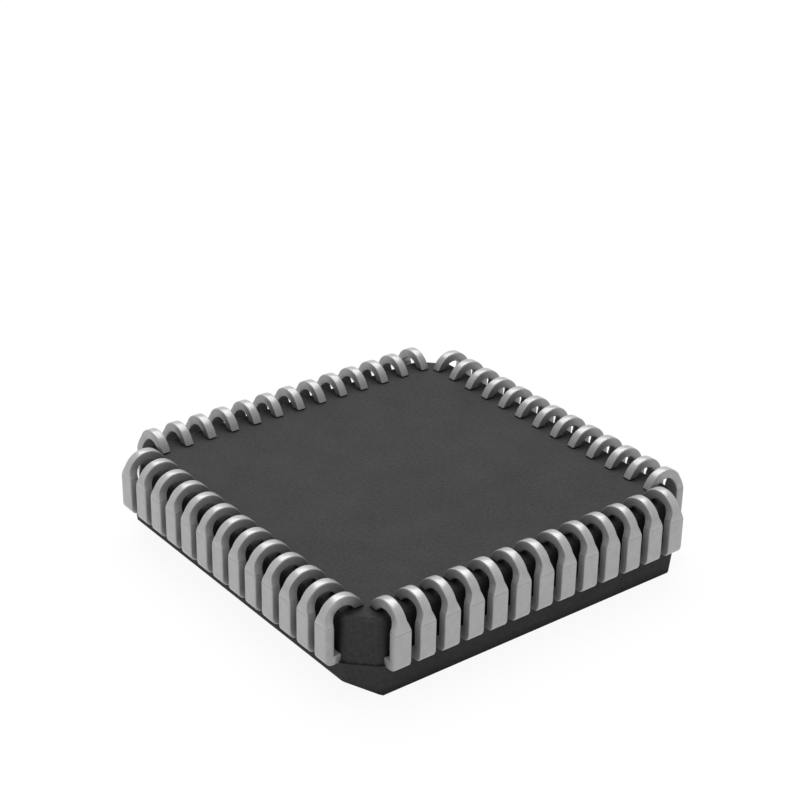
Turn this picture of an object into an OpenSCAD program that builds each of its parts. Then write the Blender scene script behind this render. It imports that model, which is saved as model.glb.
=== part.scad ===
/* [Leads] */
// Distance from one lead to the next along a side
lead_pitch = 1.27; // [1.2:0.01:1.4]
// Leads on each of the four sides
leads_per_side = 13; // [9:2:13]
// Thickness of the lead strip
lead_thickness = 0.44; // [0.25:0.01:0.5]
// Width of the shank, and of the stub that enters the body
shank_width = 0.82; // [0.6:0.01:0.9]
// Gap between the body's widest side and the inner face of the shanks
shank_gap = 0.215; // [0.1:0.005:0.3]
// Outer radius of the bend between stub and shank
bend_radius = 0.38; // [0.25:0.01:0.45]
// Width of the hook at the end of the lead
hook_width = 0.44; // [0.3:0.01:0.55]
// Outer radius of the hook
hook_radius = 1.04; // [0.9:0.01:1.15]
// Height of the hooks' crests over the underside of the body
standoff = 0.79; // [0.7:0.01:0.9]
// Gap between the hooks' level cut ends and the underside
tip_clearance = 0.05; // [0.03:0.01:0.15]
// Depth below the hook's centre at which the shank begins to narrow
taper_drop = 0.08; // [0.05:0.01:0.4]
// Height over which the shank narrows to the hook's width
taper_height = 0.50; // [0.3:0.01:0.6]

/* [Body] */
// Distance from the middle of the last lead to the body's side, at the parting line
end_margin = 1.76; // [1.7:0.01:2.4]
// Height of the half that carries the marking face
marking_half_height = 1.54; // [1.3:0.01:1.8]
// Height of the half on the side of the hooks
hook_half_height = 2.02; // [1.6:0.01:2.3]
// Depth to which the lead strip lies in the marking half
strip_depth = 0.12; // [0.05:0.01:0.25]
// Draft of the marking half, in degrees
marking_draft = 4; // [1:0.1:8]
// Draft of the hook half, in degrees
hook_draft = 4.5; // [1:0.1:8]
// Step from the marking half back to the hook half at the parting line
parting_step = 0.06; // [0.03:0.01:0.2]
// Width of the bevel that marks the first lead's side, across the marking face
bevel_inset = 1.24; // [0.6:0.01:1.6]
// Height of that bevel
bevel_height = 0.61; // [0.3:0.01:1]
// Leg of the chamfers on three corners
corner_chamfer = 1.12; // [0.6:0.01:1.4]
// Leg of the chamfer on the index corner
index_chamfer = 1.24; // [1:0.01:1.6]
// Bevel round the underside
underside_edge = 0.12; // [0.05:0.01:0.3]

/* [Inside] */
// Distance from the body's side to where a lead begins to narrow inside
root_depth = 0.75; // [0.6:0.01:1]
// Distance from the body's side to the edge of the die paddle
paddle_margin = 4.95; // [4.6:0.01:5.2]
// Gap between the die paddle and the tips of the inner leads
tip_gap = 0.70; // [0.5:0.01:0.9]
// Width of an inner lead at its tip
tip_width = 0.38; // [0.25:0.01:0.45]
// Distance of the outermost tips from the corner that two rows of tips make
tip_corner = 0.80; // [0.7:0.01:1]
// Width of the bars that hold the paddle in the corners
tie_bar_width = 0.35; // [0.2:0.01:0.45]
// Moulding left over the end of each tie bar
tie_bar_cover = 0.60; // [0.3:0.01:1]
// Thickness of the die
die_thickness = 0.38; // [0.25:0.01:0.5]
// Distance from the edge of the paddle to the edge of the die
die_margin = 0.70; // [0.4:0.01:1]
// Thickness of the adhesive under the die
attach_thickness = 0.03; // [0.02:0.005:0.06]
// Distance that the adhesive spreads past the die
attach_spread = 0.15; // [0.05:0.01:0.3]
// Diameter of the bond wires
wire_diameter = 0.05; // [0.03:0.005:0.08]
// Height of the bond wires' loops
wire_loop = 0.25; // [0.15:0.01:0.4]
// Distance of a bond wire's two ends from the edges that they are bonded beside
bond_inset = 0.18; // [0.12:0.01:0.3]

/* [Hidden] */
$fn = 64;
lead_count = 4 * leads_per_side;
row_half = (leads_per_side - 1) / 2 * lead_pitch;
body_half = row_half + end_margin;
body_height = marking_half_height + hook_half_height;

// The lead strip lies across the parting line, and is measured outwards from the body's middle
strip_low = marking_half_height - strip_depth;
strip_high = strip_low + lead_thickness;
lead_out = body_half + shank_gap + lead_thickness;
overall_height = body_height + standoff;
hook_n = lead_out - hook_radius;
hook_z = overall_height - hook_radius;
tip_level = max(hook_z, body_height + tip_clearance);
lead_root = body_half - root_depth;

// Half widths of the moulding
marking_half = body_half - marking_half_height * tan(marking_draft);
bevel_top_half = marking_half + bevel_height * tan(marking_draft);
step_half = body_half - parting_step;
underside_half = step_half - hook_half_height * tan(hook_draft);

// Half outlines of the moulding's sides, each point a distance from the middle and a height
marking_side = [[marking_half, 0], [body_half, marking_half_height]];
bevelled_side = [
    [marking_half - bevel_inset, 0],
    [bevel_top_half, bevel_height],
    [body_half, marking_half_height]
];
hook_side = [
    [step_half, marking_half_height],
    [underside_half, body_height - underside_edge],
    [underside_half - underside_edge, body_height]
];

// The die's bonding face is level with the face of the leads that the wires go to
paddle_half = body_half - paddle_margin;
die_half = paddle_half - die_margin;
attach_low = strip_low + die_thickness;
paddle_low = attach_low + attach_thickness;
paddle_high = paddle_low + lead_thickness;
tip_n = paddle_half + tip_gap;
tip_spread = (tip_n - tip_corner) / row_half;
pad_n = die_half - bond_inset;
pad_spread = (pad_n - bond_inset) / row_half;

// Reach of the tie bars along the diagonals, and where they step down to the lead strip
tie_bar_end = (2 * body_half - max(corner_chamfer, index_chamfer)) / sqrt(2) - tie_bar_cover;
tie_bar_drop = paddle_half * sqrt(2) + tip_gap;
tie_bar_slope = paddle_low - strip_low;

// Longer than the part is wide, for prisms that are cut to length by others
span = 4 * lead_out;

function lead_name(i) = str("lead_", i < 10 ? "0" : "", i);
// Place of a lead along the four sides, counted from the end of the first lead's side
function lead_place(i) = i - 1 + floor((leads_per_side - 1) / 2);
function side_turn(i) = -90 * (1 + floor(lead_place(i) / leads_per_side));
function lead_offset(i) = row_half - (lead_place(i) % leads_per_side) * lead_pitch;

// Corner outline that follows a side's outline, with a chamfer of the given leg
function corner(side, leg) = [for (p = side) [(2 * p[0] - leg) / sqrt(2), p[1]]];

// Prism between two side outlines that face opposite ways, turned about the height
module prism(turn, right, left) {
    back = [for (i = [len(left) - 1 : -1 : 0]) [-left[i][0], left[i][1]]];
    rotate([0, 0, turn])
        rotate([90, 0, 0])
            linear_extrude(span, center = true)
                polygon(concat(right, back));
}

// One half of the moulding: four sides, the last given apart, and four chamfered corners
module moulding_half(side, first_side) {
    intersection() {
        prism(0, side, side);
        prism(90, side, first_side);
        prism(45, corner(side, corner_chamfer), corner(side, index_chamfer));
        prism(135, corner(side, corner_chamfer), corner(side, corner_chamfer));
    }
}

// Moulded body, with the room that the embedded pieces take up
module body() {
    color("#434343")
        difference() {
            union() {
                moulding_half(marking_side, bevelled_side);
                moulding_half(hook_side, hook_side);
            }
            for (i = [1 : lead_count]) lead(i);
            die_paddle();
            die_attach();
            die();
            bond_wires();
        }
}

// Side view of the bend and the shank
module shank_profile() {
    intersection() {
        translate([lead_out - bend_radius, strip_low + bend_radius]) circle(bend_radius);
        translate([lead_out - bend_radius, strip_low]) square(bend_radius);
    }
    translate([lead_out - lead_thickness, strip_low + bend_radius])
        square([lead_thickness, hook_z - strip_low - bend_radius]);
}

// Side view of the hook, from the shank to its level cut end
module hook_profile() {
    reach = 2 * hook_radius;
    difference() {
        translate([hook_n, hook_z]) circle(hook_radius);
        translate([hook_n, hook_z]) circle(hook_radius - lead_thickness);
        translate([hook_n, hook_z - reach]) square(reach);
        translate([hook_n - reach, tip_level - reach]) square(reach);
    }
}

// Front view of the shank, narrowing towards the hook
module shank_front() {
    taper_low = hook_z - taper_drop;
    taper_high = taper_low + taper_height;
    polygon([
        [-shank_width / 2, 0],
        [shank_width / 2, 0],
        [shank_width / 2, taper_low],
        [hook_width / 2, taper_high],
        [hook_width / 2, overall_height + lead_thickness],
        [-hook_width / 2, overall_height + lead_thickness],
        [-hook_width / 2, taper_high],
        [-shank_width / 2, taper_low]
    ]);
}

module upright(width) {
    rotate([90, 0, 0]) linear_extrude(width, center = true) children();
}

// Bend, shank and hook of a lead in the middle of the side that faces +X
module outer_lead() {
    intersection() {
        upright(shank_width)
            union() {
                shank_profile();
                hook_profile();
            }
        translate([hook_n, 0, 0])
            rotate([90, 0, 90])
                linear_extrude(2 * hook_radius)
                    shank_front();
    }
    intersection() {
        upright(hook_width) hook_profile();
        translate([hook_n - 2 * hook_radius, -shank_width, 0])
            cube([2 * hook_radius, 2 * shank_width, 2 * overall_height]);
    }
}

// The flat of the lead: a straight root behind the bend, then a finger that runs towards the die
module inner_lead(offset_along) {
    tip = offset_along * tip_spread;
    translate([0, 0, strip_low])
        linear_extrude(lead_thickness) {
            translate([lead_root, offset_along - shank_width / 2])
                square([lead_out - bend_radius - lead_root, shank_width]);
            polygon([
                [lead_root, offset_along - shank_width / 2],
                [lead_root, offset_along + shank_width / 2],
                [tip_n, tip + tip_width / 2],
                [tip_n, tip - tip_width / 2]
            ]);
        }
}

// Lead number i, counted from the middle of the bevelled side
module lead(i) {
    color("#b4b6b8")
        rotate([0, 0, side_turn(i)]) {
            translate([0, lead_offset(i), 0]) outer_lead();
            inner_lead(lead_offset(i));
        }
}

// Side view of one tie bar along a diagonal, stepping from the paddle to the lead strip
module tie_bar_profile() {
    polygon([
        [paddle_half, paddle_low],
        [tie_bar_drop, paddle_low],
        [tie_bar_drop + tie_bar_slope, strip_low],
        [tie_bar_end, strip_low],
        [tie_bar_end, strip_high],
        [tie_bar_drop + tie_bar_slope, strip_high],
        [tie_bar_drop, paddle_high],
        [paddle_half, paddle_high]
    ]);
}

// Paddle that carries the die, with a tie bar towards each corner
module die_paddle() {
    color("#b98a52") {
        translate([-paddle_half, -paddle_half, paddle_low])
            cube([2 * paddle_half, 2 * paddle_half, lead_thickness]);
        for (turn = [45 : 90 : 315])
            rotate([0, 0, turn]) upright(tie_bar_width) tie_bar_profile();
    }
}

module square_plate(half, low, height) {
    translate([-half, -half, low]) cube([2 * half, 2 * half, height]);
}

// Adhesive between paddle and die
module die_attach() {
    color("#8f8f86") square_plate(die_half + attach_spread, attach_low, attach_thickness);
}

module die() {
    color("#5d6370") square_plate(die_half, strip_low, die_thickness);
}

// Wire from a pad on the die to the tip of an inner lead, an arc cut off at their common face
module bond_wire(offset_along) {
    start = [pad_n, offset_along * pad_spread];
    run = [tip_n + bond_inset, offset_along * tip_spread] - start;
    length = norm(run);
    arc_radius = (length * length / 4 + wire_loop * wire_loop) / (2 * wire_loop);
    translate([start[0], start[1], strip_low])
        rotate([0, 0, atan2(run[1], run[0])])
            intersection() {
                translate([length / 2, 0, arc_radius - wire_loop])
                    rotate([90, 0, 0])
                        rotate_extrude()
                            translate([arc_radius, 0])
                                circle(wire_diameter / 2);
                translate([-length, -length, -2 * wire_loop])
                    cube([3 * length, 2 * length, 2 * wire_loop]);
            }
}

module bond_wires() {
    color("#d8b24a")
        for (i = [1 : lead_count])
            rotate([0, 0, side_turn(i)]) bond_wire(lead_offset(i));
}

body();
for (i = [1 : lead_count])
    lead(i);
die_paddle();
die_attach();
die();
bond_wires();
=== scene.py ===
"""Dresses the chip carrier: plated leads, moulded body, the pieces inside it, floor, light and camera."""

import itertools
import math

import bmesh
import bpy
from mathutils import Matrix, Vector


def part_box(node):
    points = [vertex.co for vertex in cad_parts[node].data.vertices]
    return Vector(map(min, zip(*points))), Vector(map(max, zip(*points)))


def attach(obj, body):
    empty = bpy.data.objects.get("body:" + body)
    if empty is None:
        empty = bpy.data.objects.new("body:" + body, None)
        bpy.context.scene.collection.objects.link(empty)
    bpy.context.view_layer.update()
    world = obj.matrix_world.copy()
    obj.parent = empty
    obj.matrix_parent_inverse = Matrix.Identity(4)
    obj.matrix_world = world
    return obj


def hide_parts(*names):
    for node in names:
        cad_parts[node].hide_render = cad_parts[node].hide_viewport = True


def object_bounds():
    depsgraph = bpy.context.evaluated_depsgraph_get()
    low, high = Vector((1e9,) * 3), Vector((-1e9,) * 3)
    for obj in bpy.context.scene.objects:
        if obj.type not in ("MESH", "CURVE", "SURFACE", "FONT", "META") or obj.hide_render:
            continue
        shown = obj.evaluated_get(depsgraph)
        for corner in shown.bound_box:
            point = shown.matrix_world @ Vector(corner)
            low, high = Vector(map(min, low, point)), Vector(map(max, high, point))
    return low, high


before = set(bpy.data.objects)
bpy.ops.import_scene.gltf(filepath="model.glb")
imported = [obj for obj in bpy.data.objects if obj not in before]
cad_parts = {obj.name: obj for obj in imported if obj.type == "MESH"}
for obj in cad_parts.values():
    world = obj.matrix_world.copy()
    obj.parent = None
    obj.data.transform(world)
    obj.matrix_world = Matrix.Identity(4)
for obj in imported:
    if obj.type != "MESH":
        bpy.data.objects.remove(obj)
cad_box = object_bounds()

MM = 0.001
LEADS = sorted(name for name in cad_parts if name.startswith("lead_"))
LEADS_PER_SIDE = len(LEADS) // 4

# Sizes of the part in metres, from its solids where they show them
BODY_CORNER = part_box("body")[1]
BODY_HALF = BODY_CORNER.x
BODY_HEIGHT = BODY_CORNER.z
PART_CORNER = cad_box[1]
LEAD_OUT = PART_CORNER.x
OVERALL_HEIGHT = PART_CORNER.z
LEAD_PITCH = 1.27 * MM
ROW_HALF = (LEADS_PER_SIDE - 1) / 2 * LEAD_PITCH

# Lead strip: thickness, widths, the bend beside the body, and the hook, which is round as far as its slant
STRIP = 0.44 * MM
SHANK_HALF_WIDTH = 0.41 * MM
HOOK_HALF_WIDTH = 0.22 * MM
BEND_RADIUS = 0.38 * MM
BEND_INNER_RADIUS = 0.03 * MM
HOOK_RADIUS = 1.04 * MM
HOOK_SLANT = math.radians(149)
ROUND_SHARE = 0.93
TIP_CLEARANCE = 0.05 * MM
TAPER_DROP = 0.08 * MM
TAPER_HEIGHT = 0.50 * MM
LEAD_EDGE = 0.06 * MM
SHOULDER_EDGE = 0.025 * MM
BEND_LINE = 0.018 * MM
TIP_EDGE = 0.025 * MM
TIP_EDGE_TURNS = (0, 25, 50, 80)
BEND_STEPS = 8
HOOK_STEPS = 40
LEAD_EDGE_STEPS = 4

# Moulding: halves, drafts, bevelled side, corners and edges
PARTING = 1.54 * MM
STRIP_DEPTH = 0.12 * MM
MARKING_DRAFT = math.radians(4)
HOOK_DRAFT = math.radians(4.5)
PARTING_STEP = 0.06 * MM
BEVEL_INSET = 1.24 * MM
BEVEL_HEIGHT = 0.61 * MM
CORNER_CHAMFER = 1.12 * MM
INDEX_CHAMFER = 1.24 * MM
UNDERSIDE_EDGE = 0.12 * MM
BODY_EDGE = 0.05 * MM
UPRIGHT_EDGE = 0.12 * MM
HOOK_HALF_UPRIGHT_EDGE = 0.32 * MM

# Inner fingers of the leads
ROOT_DEPTH = 0.75 * MM
FINGER_DEPTH = 4.25 * MM
FINGER_CORNER = 0.80 * MM
FINGER_END = BODY_HALF - FINGER_DEPTH
FINGER_SPREAD = (FINGER_END - FINGER_CORNER) / ROW_HALF
FINGER_HALF_WIDTH = 0.19 * MM

# Finishes: colours of the moulding compound and the plating, and the painted shade that darkens the moulding
# in its crevices
EPOXY_DARK = 0.027
EPOXY_LIGHT = 0.051
# Painted shade: the moulding's colour deep in crevices and under the hooks
EPOXY_PAINTED_SHADE = 0.005
TIN_DARK = (0.365, 0.365, 0.368)
TIN_LIGHT = (0.460, 0.460, 0.463)
STREAK_STRETCH = (0.8, 26.0, 1.0)
CREVICE_SAMPLES = 16

# Tones that the plating's colour is multiplied by: on stamped edges; painted shade in crevices and by
# millimetres from the tip; and, by place in the stretch of height round the shoulder, a painted crease shadow
# with a painted lighter band above it
STAMPED_EDGE_TONE = 0.95
# Painted shade: the plating's tone deep in crevices
CREVICE_SHADE_TONE = 0.70
# Painted shade: the plating's tones by millimetres from the tip, darker at the cut end
TIP_SHADE_TONES = [(0.05, 0.55), (0.50, 0.80), (0.95, 1.0)]
# Painted light and shade round the shoulder: a dark crease line and a lighter band just above it
SHOULDER_SHADING_TONES = [(0.17, 0.92), (0.19, 0.83), (0.21, 0.83), (0.23, 1.00), (0.65, 0.92)]
BEND_TONES_BELOW = 0.2 * MM
BEND_TONES_ABOVE = 0.8 * MM


def link(piece):
    bpy.context.scene.collection.objects.link(piece)
    return piece


def mesh_object(name, bm):
    """A new object with the given bmesh, smooth shaded, with flat faces kept flat by weighted normals."""
    mesh = bpy.data.meshes.new(name)
    bm.to_mesh(mesh)
    bm.free()
    mesh.polygons.foreach_set("use_smooth", [True] * len(mesh.polygons))
    piece = link(bpy.data.objects.new(name, mesh))
    weighted = piece.modifiers.new("flat_faces", "WEIGHTED_NORMAL")
    weighted.keep_sharp = True
    return piece


# Materials

def new_material(name):
    material = bpy.data.materials.new(name)
    material.use_nodes = True
    return material, material.node_tree.nodes, material.node_tree.links


def noise_node(nodes, links, vector, scale, detail=4.0, roughness=0.55):
    noise = nodes.new("ShaderNodeTexNoise")
    noise.inputs["Scale"].default_value = scale
    noise.inputs["Detail"].default_value = detail
    noise.inputs["Roughness"].default_value = roughness
    links.new(vector, noise.inputs["Vector"])
    return noise.outputs["Fac"]


def ramp_node(nodes, links, factor, stops):
    """Colour ramp with stops of a position and a tone, which is a grey or a colour."""
    ramp = nodes.new("ShaderNodeValToRGB")
    links.new(factor, ramp.inputs["Fac"])
    elements = ramp.color_ramp.elements
    while len(elements) < len(stops):
        elements.new(1.0)
    for element, (position, tone) in zip(elements, stops):
        element.position = position
        element.color = (*tone, 1.0) if isinstance(tone, tuple) else (tone, tone, tone, 1.0)
    return ramp.outputs["Color"]


def mapped_range(nodes, links, value, low, high, start=0.0, end=1.0):
    span = nodes.new("ShaderNodeMapRange")
    span.inputs["From Min"].default_value = start
    span.inputs["From Max"].default_value = end
    span.inputs["To Min"].default_value = low
    span.inputs["To Max"].default_value = high
    links.new(value, span.inputs["Value"])
    return span.outputs["Result"]


def mixed_colour(nodes, links, factor, first, second, blend="MIX"):
    """Mix of two colours, each given as an output of a node or as a grey."""
    mixed = nodes.new("ShaderNodeMix")
    mixed.data_type = "RGBA"
    mixed.blend_type = blend
    for name, value in (("Factor", factor), ("A", first), ("B", second)):
        socket = next(s for s in mixed.inputs if s.name == name and s.enabled)
        if isinstance(value, float):
            socket.default_value = value if name == "Factor" else (value, value, value, 1.0)
        else:
            links.new(value, socket)
    return next(s for s in mixed.outputs if s.enabled)


def mixed_value(nodes, links, first, second, share):
    """Mix of two outputs with the given share of the second."""
    mixed = nodes.new("ShaderNodeMix")
    mixed.inputs["Factor"].default_value = share
    links.new(first, mixed.inputs["A"])
    links.new(second, mixed.inputs["B"])
    return mixed.outputs["Result"]


def bump_node(nodes, links, height, strength, distance):
    bump = nodes.new("ShaderNodeBump")
    bump.inputs["Strength"].default_value = strength
    bump.inputs["Distance"].default_value = distance
    links.new(height, bump.inputs["Height"])
    return bump.outputs["Normal"]


def openness(nodes, links, reach, closed, free):
    """0 deep in a crevice to 1 on a free face, from how much of the space within reach is taken up; the
    materials use it as a mask for painted crevice shade.
    """
    crevice = nodes.new("ShaderNodeAmbientOcclusion")
    crevice.samples = CREVICE_SAMPLES
    crevice.inputs["Distance"].default_value = reach
    return mapped_range(nodes, links, crevice.outputs["AO"], 0.0, 1.0, closed, free)


def moulded_epoxy():
    """Charcoal moulding compound with the fine matt grain of an eroded mould, and painted shade that darkens
    it in crevices and under the hooks.
    """
    material, nodes, links = new_material("moulded_epoxy")
    shader = nodes["Principled BSDF"]
    place = nodes.new("ShaderNodeTexCoord").outputs["Object"]
    grain = noise_node(nodes, links, place, scale=6500.0)
    cloud = noise_node(nodes, links, place, scale=450.0, detail=5.0)
    mottle = mixed_value(nodes, links, grain, cloud, share=0.35)
    colour = ramp_node(nodes, links, mottle, [(0.30, EPOXY_DARK), (0.70, EPOXY_LIGHT)])
    # Painted shade: the colour darkens towards near black in crevices, such as under the hooks and between
    # the leads and the walls
    free = openness(nodes, links, reach=0.8 * MM, closed=0.25, free=0.80)
    links.new(mixed_colour(nodes, links, free, EPOXY_PAINTED_SHADE, colour), shader.inputs["Base Color"])
    roughness = mapped_range(nodes, links, grain, low=0.62, high=0.78)
    links.new(roughness, shader.inputs["Roughness"])
    normal = bump_node(nodes, links, grain, strength=0.25, distance=0.006 * MM)
    links.new(normal, shader.inputs["Normal"])
    shader.inputs["Specular IOR Level"].default_value = 0.08
    return material


def stamped_edges(nodes, links, round_strip):
    """Slightly darker tone on the two stamped edges of the strip, from the distance round it in millimetres.
    """
    half_girth = 2 * SHANK_HALF_WIDTH + STRIP + (math.pi - 4) * LEAD_EDGE
    corner = math.pi / 2 * LEAD_EDGE / half_girth
    edge_start = corner + 2 * (SHANK_HALF_WIDTH - LEAD_EDGE) / half_girth
    halves = nodes.new("ShaderNodeMath")
    halves.operation = "MULTIPLY"
    halves.inputs[1].default_value = MM / half_girth
    links.new(round_strip, halves.inputs[0])
    place = nodes.new("ShaderNodeMath")
    place.operation = "FRACT"
    links.new(halves.outputs["Value"], place.inputs[0])
    stops = [(0.0, STAMPED_EDGE_TONE), (corner, 1.0),
             (edge_start, 1.0), (edge_start + corner, STAMPED_EDGE_TONE)]
    return ramp_node(nodes, links, place.outputs["Value"], stops)


def tin_plating():
    """Satin tin on rolled strip: faint streaks and clouds, fine pits and a slightly darker tone on the
    stamped edges, with painted shade towards the tips and in crevices, and a painted crease shadow at the
    shoulder with a painted lighter band above it."""
    material, nodes, links = new_material("tin_plating")
    shader = nodes["Principled BSDF"]
    texture = nodes.new("ShaderNodeTexCoord")
    stretch = nodes.new("ShaderNodeMapping")
    stretch.inputs["Scale"].default_value = STREAK_STRETCH
    links.new(texture.outputs["UV"], stretch.inputs["Vector"])
    streaks = noise_node(nodes, links, stretch.outputs["Vector"], scale=1.0, detail=3.0)
    cloud = noise_node(nodes, links, texture.outputs["Object"], scale=2600.0)
    mottle = mixed_value(nodes, links, streaks, cloud, share=0.5)
    colour = ramp_node(nodes, links, mottle, [(0.32, TIN_DARK), (0.68, TIN_LIGHT)])
    strip = nodes.new("ShaderNodeSeparateXYZ")
    links.new(texture.outputs["UV"], strip.inputs["Vector"])
    edges = stamped_edges(nodes, links, strip.outputs["Y"])
    # Painted shade: darker towards the tip, by millimetres along the strip
    tip_shade = ramp_node(nodes, links, strip.outputs["X"], TIP_SHADE_TONES)
    # Painted shade: darker in crevices, such as inside the hooks and between the leads and the body
    free = openness(nodes, links, reach=1.0 * MM, closed=0.30, free=0.95)
    painted_crevice_shade = ramp_node(nodes, links, free, [(0.0, CREVICE_SHADE_TONE), (1.0, 1.0)])
    axes = nodes.new("ShaderNodeSeparateXYZ")
    links.new(texture.outputs["Object"], axes.inputs["Vector"])
    # Painted light and shade by height: a dark crease line at the shoulder and a lighter band just above it
    shoulder = OVERALL_HEIGHT - HOOK_RADIUS - TAPER_DROP
    height = mapped_range(nodes, links, axes.outputs["Z"], low=0.0, high=1.0,
                          start=shoulder - BEND_TONES_BELOW, end=shoulder + BEND_TONES_ABOVE)
    painted_shoulder_shading = ramp_node(nodes, links, height, SHOULDER_SHADING_TONES)
    for tone in (edges, tip_shade, painted_crevice_shade, painted_shoulder_shading):
        colour = mixed_colour(nodes, links, 1.0, colour, tone, "MULTIPLY")
    links.new(colour, shader.inputs["Base Color"])
    roughness = mapped_range(nodes, links, mottle, low=0.25, high=0.34)
    links.new(roughness, shader.inputs["Roughness"])
    pits = noise_node(nodes, links, texture.outputs["Object"], scale=30000.0, detail=2.0)
    normal = bump_node(nodes, links, pits, strength=0.12, distance=0.003 * MM)
    links.new(normal, shader.inputs["Normal"])
    shader.inputs["Metallic"].default_value = 0.30
    return material


def inner_material(name, dark, light, roughness, metallic):
    """Finish of a piece inside the moulding: two tones that a fine grain mixes."""
    material, nodes, links = new_material(name)
    shader = nodes["Principled BSDF"]
    place = nodes.new("ShaderNodeTexCoord").outputs["Object"]
    grain = noise_node(nodes, links, place, scale=5200.0)
    links.new(ramp_node(nodes, links, grain, [(0.3, dark), (0.7, light)]), shader.inputs["Base Color"])
    links.new(mapped_range(nodes, links, grain, roughness, roughness + 0.15), shader.inputs["Roughness"])
    normal = bump_node(nodes, links, grain, strength=0.1, distance=0.004 * MM)
    links.new(normal, shader.inputs["Normal"])
    shader.inputs["Metallic"].default_value = metallic
    return material


# Leads

def width_at(point):
    """Half width of the lead at a point of its side view, full on the shank and narrow on the hook."""
    n, z = point
    hook_z = OVERALL_HEIGHT - HOOK_RADIUS
    if n < LEAD_OUT - HOOK_RADIUS:
        return HOOK_HALF_WIDTH
    share = (z - (hook_z - TAPER_DROP)) / TAPER_HEIGHT
    share = min(max(share, 0.0), 1.0)
    return SHANK_HALF_WIDTH + (HOOK_HALF_WIDTH - SHANK_HALF_WIDTH) * share


def lead_sections(offset):
    """Sections along a lead, each with the inner and outer point of its side view, the place of its
    middle along the side, its half width at the two points, and how far it is drawn in."""
    strip_low = PARTING - STRIP_DEPTH
    strip_high = strip_low + STRIP
    shank_in = LEAD_OUT - STRIP
    hook_n = LEAD_OUT - HOOK_RADIUS
    hook_z = OVERALL_HEIGHT - HOOK_RADIUS
    sections = []

    def add(inner, outer, middle=offset, width=None, inset=0.0):
        pair = (width, width) if width else (width_at(inner), width_at(outer))
        sections.append((inner, outer, middle, pair, inset))

    def on_hook(radius, share, rise=0.0):
        """Point on the hook: round as far as the slant, then straight to a rise over the level cut end."""
        turn = HOOK_SLANT * min(share / ROUND_SHARE, 1.0)
        n = hook_n + radius * math.cos(turn)
        z = hook_z + radius * math.sin(turn)
        if share > ROUND_SHARE:
            drop = (z - BODY_HEIGHT - TIP_CLEARANCE - rise) * (share - ROUND_SHARE) / (1 - ROUND_SHARE)
            n += drop * math.tan(HOOK_SLANT)
            z -= drop
        return n, z

    root = BODY_HALF - ROOT_DEPTH
    add((FINGER_END, strip_high), (FINGER_END, strip_low), offset * FINGER_SPREAD, FINGER_HALF_WIDTH)
    add((root, strip_high), (root, strip_low), offset, SHANK_HALF_WIDTH)
    for step in range(BEND_STEPS + 1):
        turn = math.radians(-90 + 90 * step / BEND_STEPS)
        inner = (shank_in + BEND_INNER_RADIUS * (math.cos(turn) - 1),
                 strip_high + BEND_INNER_RADIUS * (math.sin(turn) + 1))
        outer = (LEAD_OUT + BEND_RADIUS * (math.cos(turn) - 1),
                 strip_low + BEND_RADIUS * (math.sin(turn) + 1))
        add(inner, outer, offset, SHANK_HALF_WIDTH)
    taper_low = hook_z - TAPER_DROP
    for height, inset in ((-SHOULDER_EDGE, 0.0), (0.0, BEND_LINE), (SHOULDER_EDGE, 0.0)):
        add((shank_in, taper_low + height), (LEAD_OUT, taper_low + height), inset=inset)
    for step in range(HOOK_STEPS):
        share = step / HOOK_STEPS
        add(on_hook(HOOK_RADIUS - STRIP, share, TIP_EDGE), on_hook(HOOK_RADIUS, share, TIP_EDGE))
    for rounding in TIP_EDGE_TURNS:
        bent = math.radians(rounding)
        rise = TIP_EDGE * (1 - math.sin(bent))
        add(on_hook(HOOK_RADIUS - STRIP, 1.0, rise), on_hook(HOOK_RADIUS, 1.0, rise),
            inset=TIP_EDGE * (1 - math.cos(bent)))
    return sections


def section_ring(section):
    """Points round one section of the strip, a rectangle with rounded corners."""
    (inner_n, inner_z), (outer_n, outer_z), middle, (inner_half, outer_half), inset = section
    inner = Vector((inner_n, inner_z))
    outer = Vector((outer_n, outer_z))
    depth = (outer - inner).length
    through = (outer - inner) / depth
    radius = LEAD_EDGE - inset
    corners = [(LEAD_EDGE, LEAD_EDGE - inner_half, 180),
               (LEAD_EDGE, inner_half - LEAD_EDGE, 270),
               (depth - LEAD_EDGE, outer_half - LEAD_EDGE, 0),
               (depth - LEAD_EDGE, LEAD_EDGE - outer_half, 90)]
    ring = []
    for along, across, start in corners:
        for step in range(LEAD_EDGE_STEPS + 1):
            turn = math.radians(start + 90 * step / LEAD_EDGE_STEPS)
            point = inner + through * (along + radius * math.sin(turn))
            ring.append(Vector((point.x, middle + across + radius * math.cos(turn), point.y)))
    return ring


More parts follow.
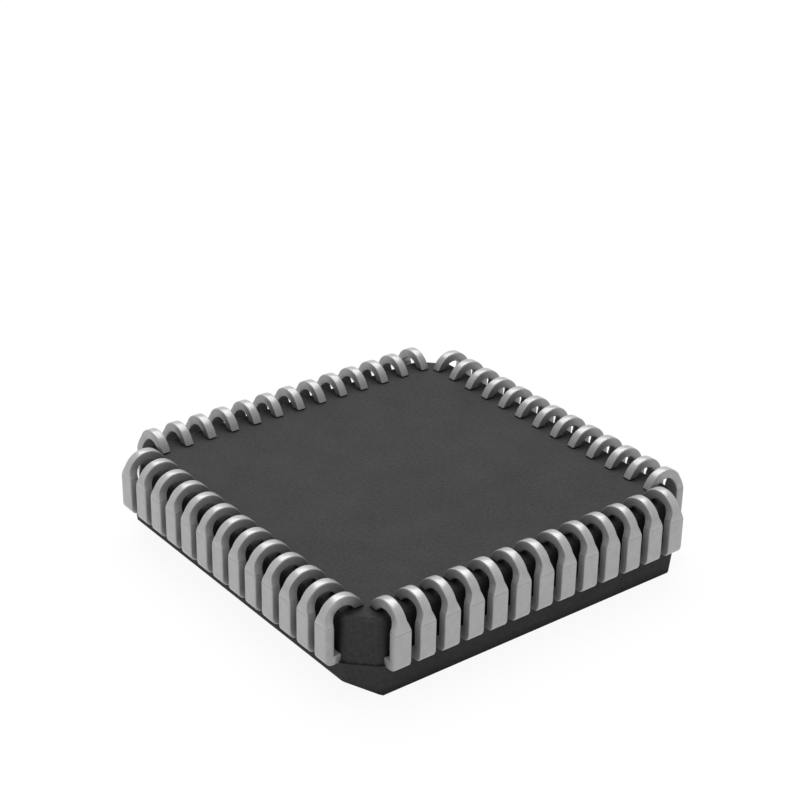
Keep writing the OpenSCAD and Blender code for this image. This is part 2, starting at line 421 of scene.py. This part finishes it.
def lead_mesh(offset, turn):
    """Sweeps the strip's section along a lead, with a rounded cut end, and turns it to its side. The UV map
    holds the distance from the tip and the distance round the strip, in millimetres."""
    sections = lead_sections(offset)
    rings = [section_ring(section) for section in sections]
    bm = bmesh.new()
    uv = bm.loops.layers.uv.new("strip")
    count = len(rings[0])
    length = [0.0]
    for before, after in zip(rings, rings[1:]):
        centre = (sum(after, Vector()) - sum(before, Vector())) / count
        length.append(length[-1] + centre.length)
    round_the_strip = [0.0]
    for k in range(count):
        round_the_strip.append(round_the_strip[-1] + (rings[1][(k + 1) % count] - rings[1][k]).length)
    rotation = Matrix.Rotation(turn, 3, "Z")
    made = [[bm.verts.new(rotation @ point) for point in ring] for ring in rings]
    for i in range(len(made) - 1):
        for k in range(count):
            nxt = (k + 1) % count
            face = bm.faces.new((made[i][k], made[i][nxt], made[i + 1][nxt], made[i + 1][k]))
            places = ((i, k), (i, k + 1), (i + 1, k + 1), (i + 1, k))
            for loop, (at, around) in zip(face.loops, places):
                loop[uv].uv = ((length[-1] - length[at]) / MM, round_the_strip[around] / MM)
        inset = sections[i][-1]
        if inset == BEND_LINE:
            for k in range(count):
                bm.edges.get((made[i][k], made[i][(k + 1) % count])).smooth = False
    bm.faces.new(list(reversed(made[0])))
    bm.faces.new(made[-1])
    bmesh.ops.recalc_face_normals(bm, faces=bm.faces)
    return bm


def make_leads(material):
    """All the leads, counted from the middle of the bevelled side."""
    for number, node in enumerate(LEADS):
        place = number + (LEADS_PER_SIDE - 1) // 2
        turn = math.radians(-90 * (1 + place // LEADS_PER_SIDE))
        offset = ROW_HALF - (place % LEADS_PER_SIDE) * LEAD_PITCH
        piece = mesh_object("plated_" + node, lead_mesh(offset, turn))
        piece.data.materials.append(material)
        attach(piece, "root")
        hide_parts(node)


# Body: directions of the bevelled side and the index corner in degrees, tolerances, and which edges count
BEVELLED_TURN = 270
INDEX_TURN = 225
SAME_POINT = 1e-7
PLANE_SLACK = 1e-8
PARALLEL = 1e-6
FLAT_ANGLE = math.radians(0.5)
SHARP_ANGLE = math.radians(15)
UPRIGHT_SHARE = 0.6


def side_planes(side, first_side):
    """Planes of one half of the moulding as (normal, distance), from the outlines of its sides and of the
    lead 1 side. A corner chamfer is a side in the direction of the corner, drawn in by the chamfer's leg."""
    outlines = []
    for turn in range(0, 360, 90):
        outlines.append((turn, first_side if turn == BEVELLED_TURN else side, 0.0, 1.0))
    for turn in range(45, 360, 90):
        leg = INDEX_CHAMFER if turn == INDEX_TURN else CORNER_CHAMFER
        outlines.append((turn, side, leg, math.sqrt(2)))
    planes = []
    for turn, outline, leg, stretch in outlines:
        points = [(n * stretch - leg / math.sqrt(2), z) for n, z in outline]
        for (n0, z0), (n1, z1) in zip(points, points[1:]):
            outward = Vector((z1 - z0, n0 - n1)).normalized()
            angle = math.radians(turn)
            normal = Vector((outward.x * math.cos(angle), outward.x * math.sin(angle), outward.y))
            planes.append((normal, outward.x * n0 + outward.y * z0))
    low = min(z for n, z in side)
    high = max(z for n, z in side)
    planes.append((Vector((0, 0, -1)), -low))
    planes.append((Vector((0, 0, 1)), high))
    return planes


def convex_corners(planes):
    """Corners of the solid that lies behind all the planes."""
    found = []
    for trio in itertools.combinations(planes, 3):
        rows = Matrix([normal for normal, distance in trio])
        if abs(rows.determinant()) < PARALLEL:
            continue
        point = rows.inverted() @ Vector([distance for normal, distance in trio])
        if any(normal.dot(point) > distance + PLANE_SLACK for normal, distance in planes):
            continue
        if all((point - other).length > SAME_POINT for other in found):
            found.append(point)
    return found


def half_block(planes, open_height):
    """Closed convex block behind the planes, without its face at the open height."""
    bm = bmesh.new()
    for point in convex_corners(planes):
        bm.verts.new(point)
    bmesh.ops.convex_hull(bm, input=bm.verts)
    bmesh.ops.dissolve_limit(bm, angle_limit=FLAT_ANGLE, verts=bm.verts, edges=bm.edges)
    cap = [f for f in bm.faces if all(abs(v.co.z - open_height) < SAME_POINT for v in f.verts)]
    bmesh.ops.delete(bm, geom=cap, context="FACES_ONLY")
    return bm


def sharp_edges(bm):
    return [e for e in bm.edges if e.calc_face_angle(0.0) > SHARP_ANGLE]


def upright_edges(bm, lowest):
    """Sharp edges that run up the sides, from the given height on."""
    uprights = []
    for edge in sharp_edges(bm):
        low, high = sorted(v.co.z for v in edge.verts)
        if low >= lowest and high - low > UPRIGHT_SHARE * edge.calc_length():
            uprights.append(edge)
    return uprights


def round_edges(bm, edges, offset, segments):
    bmesh.ops.bevel(bm, geom=edges, offset=offset, offset_type="OFFSET", segments=segments, profile=0.5,
                    affect="EDGES", clamp_overlap=True)


def body_mesh():
    """The two halves of the moulding with the step between them, every edge rounded."""
    marking_half = BODY_HALF - PARTING * math.tan(MARKING_DRAFT)
    step_half = BODY_HALF - PARTING_STEP
    underside_half = step_half - (BODY_HEIGHT - PARTING) * math.tan(HOOK_DRAFT)
    marking_side = [(marking_half, 0.0), (BODY_HALF, PARTING)]
    bevelled_side = [(marking_half - BEVEL_INSET, 0.0),
                     (marking_half + BEVEL_HEIGHT * math.tan(MARKING_DRAFT), BEVEL_HEIGHT),
                     (BODY_HALF, PARTING)]
    hook_side = [(step_half, PARTING), (underside_half, BODY_HEIGHT - UNDERSIDE_EDGE),
                 (underside_half - UNDERSIDE_EDGE, BODY_HEIGHT)]
    joined = bmesh.new()
    for planes in (side_planes(marking_side, bevelled_side), side_planes(hook_side, hook_side)):
        half = half_block(planes, PARTING)
        mesh = bpy.data.meshes.new("half")
        half.to_mesh(mesh)
        half.free()
        joined.from_mesh(mesh)
        bpy.data.meshes.remove(mesh)
    rims = [e for e in joined.edges if e.is_boundary]
    bmesh.ops.bridge_loops(joined, edges=rims)
    bmesh.ops.recalc_face_normals(joined, faces=joined.faces)
    just_under_parting = PARTING - 0.001 * MM
    round_edges(joined, upright_edges(joined, just_under_parting), HOOK_HALF_UPRIGHT_EDGE, segments=6)
    round_edges(joined, upright_edges(joined, 0.0), UPRIGHT_EDGE, segments=5)
    round_edges(joined, sharp_edges(joined), BODY_EDGE, segments=3)
    return joined


def make_body(material):
    piece = mesh_object("moulded_body", body_mesh())
    piece.data.materials.append(material)
    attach(piece, "root")
    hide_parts("body")


def dress_inner_pieces():
    """Gives the solids inside the moulding, which stay as they are, their finishes."""
    finishes = {
        "die_paddle": inner_material("bare_copper", dark=(0.55, 0.27, 0.15), light=(0.72, 0.40, 0.24),
                                     roughness=0.30, metallic=1.0),
        "die_attach": inner_material("silver_epoxy", dark=(0.42, 0.42, 0.40), light=(0.56, 0.56, 0.53),
                                     roughness=0.55, metallic=0.3),
        "die": inner_material("silicon", dark=(0.06, 0.07, 0.09), light=(0.12, 0.13, 0.16),
                              roughness=0.15, metallic=0.4),
        "bond_wires": inner_material("gold_wire", dark=(0.80, 0.55, 0.16), light=(0.92, 0.68, 0.28),
                                     roughness=0.20, metallic=1.0),
    }
    for node, material in finishes.items():
        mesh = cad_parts[node].data
        mesh.materials.clear()
        mesh.materials.append(material)


# Floor and light
FLOOR_SIZE = 2.0
FLOOR_DROP = 0.01 * MM
FLOOR_GREY = 0.96
FLOOR_GLOW = 0.92
WORLD_LEVEL = 0.45


def seen_directly(nodes, links):
    """1 for rays that come straight from the camera or by way of a mirror or glass, 0 for the others."""
    path = nodes.new("ShaderNodeLightPath")
    total = path.outputs["Is Camera Ray"]
    for kind in ("Is Glossy Ray", "Is Transmission Ray"):
        larger = nodes.new("ShaderNodeMath")
        larger.operation = "MAXIMUM"
        links.new(total, larger.inputs[0])
        links.new(path.outputs[kind], larger.inputs[1])
        total = larger.outputs["Value"]
    return total


def make_floor():
    """White sweep: seen as plain white, with a soft remainder of the part's shadow."""
    bpy.ops.mesh.primitive_plane_add(size=FLOOR_SIZE, location=(0, 0, -FLOOR_DROP))
    floor = bpy.context.object
    floor.name = "floor"
    material, nodes, links = new_material("white_floor")
    shader = nodes["Principled BSDF"]
    shader.inputs["Base Color"].default_value = (FLOOR_GREY, FLOOR_GREY, FLOOR_GREY, 1.0)
    shader.inputs["Roughness"].default_value = 0.9
    shader.inputs["Specular IOR Level"].default_value = 0.0
    glow = nodes.new("ShaderNodeEmission")
    glow.inputs["Color"].default_value = (1.0, 1.0, 1.0, 1.0)
    glow.inputs["Strength"].default_value = 1.0
    share = nodes.new("ShaderNodeMath")
    share.operation = "MULTIPLY"
    share.inputs[1].default_value = FLOOR_GLOW
    links.new(seen_directly(nodes, links), share.inputs[0])
    mix = nodes.new("ShaderNodeMixShader")
    links.new(share.outputs["Value"], mix.inputs["Fac"])
    links.new(shader.outputs["BSDF"], mix.inputs[1])
    links.new(glow.outputs["Emission"], mix.inputs[2])
    links.new(mix.outputs["Shader"], nodes["Material Output"].inputs["Surface"])
    floor.data.materials.append(material)


def make_world():
    """White surroundings: plain white where they are seen, dimmer as a light."""
    world = bpy.data.worlds.new("studio")
    bpy.context.scene.world = world
    world.use_nodes = True
    nodes, links = world.node_tree.nodes, world.node_tree.links
    background = nodes["Background"]
    background.inputs["Color"].default_value = (1.0, 1.0, 1.0, 1.0)
    level = mapped_range(nodes, links, seen_directly(nodes, links), WORLD_LEVEL, 1.0)
    links.new(level, background.inputs["Strength"])


def area_light(name, place, size, power):
    """Square softbox that faces the middle of the part."""
    lamp = bpy.data.lights.new(name, "AREA")
    lamp.shape = "SQUARE"
    lamp.size = size
    lamp.energy = power
    piece = link(bpy.data.objects.new(name, lamp))
    piece.location = place
    piece.rotation_euler = Vector(place).to_track_quat("Z", "Y").to_euler()


def make_lights():
    make_world()
    area_light("softbox", place=(-0.14, 0.09, 0.30), size=0.30, power=1.05)
    area_light("front_fill", place=(0.13, -0.23, 0.22), size=0.40, power=0.28)


# Camera: where it stands round the part, how far off, and the photograph's framing
CAMERA_AZIMUTH = math.radians(52.03)
CAMERA_ELEVATION = math.radians(26.59)
CAMERA_ROLL = math.radians(0.99)
CAMERA_DISTANCE = 90.53 * MM
CAMERA_RIGHT = -0.05 * MM
CAMERA_UP = 6.58 * MM
FOCAL_PIXELS = 1951.0
PICTURE_PIXELS = 800
SENSOR = 36.0


def make_camera():
    data = bpy.data.cameras.new("camera")
    camera = link(bpy.data.objects.new("camera", data))
    back = Vector((math.cos(CAMERA_ELEVATION) * math.sin(CAMERA_AZIMUTH),
                   -math.cos(CAMERA_ELEVATION) * math.cos(CAMERA_AZIMUTH), math.sin(CAMERA_ELEVATION)))
    right = Vector((math.cos(CAMERA_AZIMUTH), math.sin(CAMERA_AZIMUTH), 0.0))
    up = back.cross(right)
    rolled_right = math.cos(CAMERA_ROLL) * right + math.sin(CAMERA_ROLL) * up
    rolled_up = math.cos(CAMERA_ROLL) * up - math.sin(CAMERA_ROLL) * right
    place = CAMERA_RIGHT * rolled_right + CAMERA_UP * rolled_up + CAMERA_DISTANCE * back
    turn = Matrix((rolled_right, rolled_up, back)).transposed()
    camera.matrix_world = Matrix.Translation(place) @ turn.to_4x4()
    data.sensor_width = SENSOR
    data.lens = FOCAL_PIXELS / PICTURE_PIXELS * SENSOR
    data.clip_start = 1 * MM
    data.clip_end = 10.0
    bpy.context.scene.camera = camera


make_leads(tin_plating())
make_body(moulded_epoxy())
dress_inner_pieces()
make_floor()
make_lights()
make_camera()
bpy.context.scene.view_settings.view_transform = "Standard"
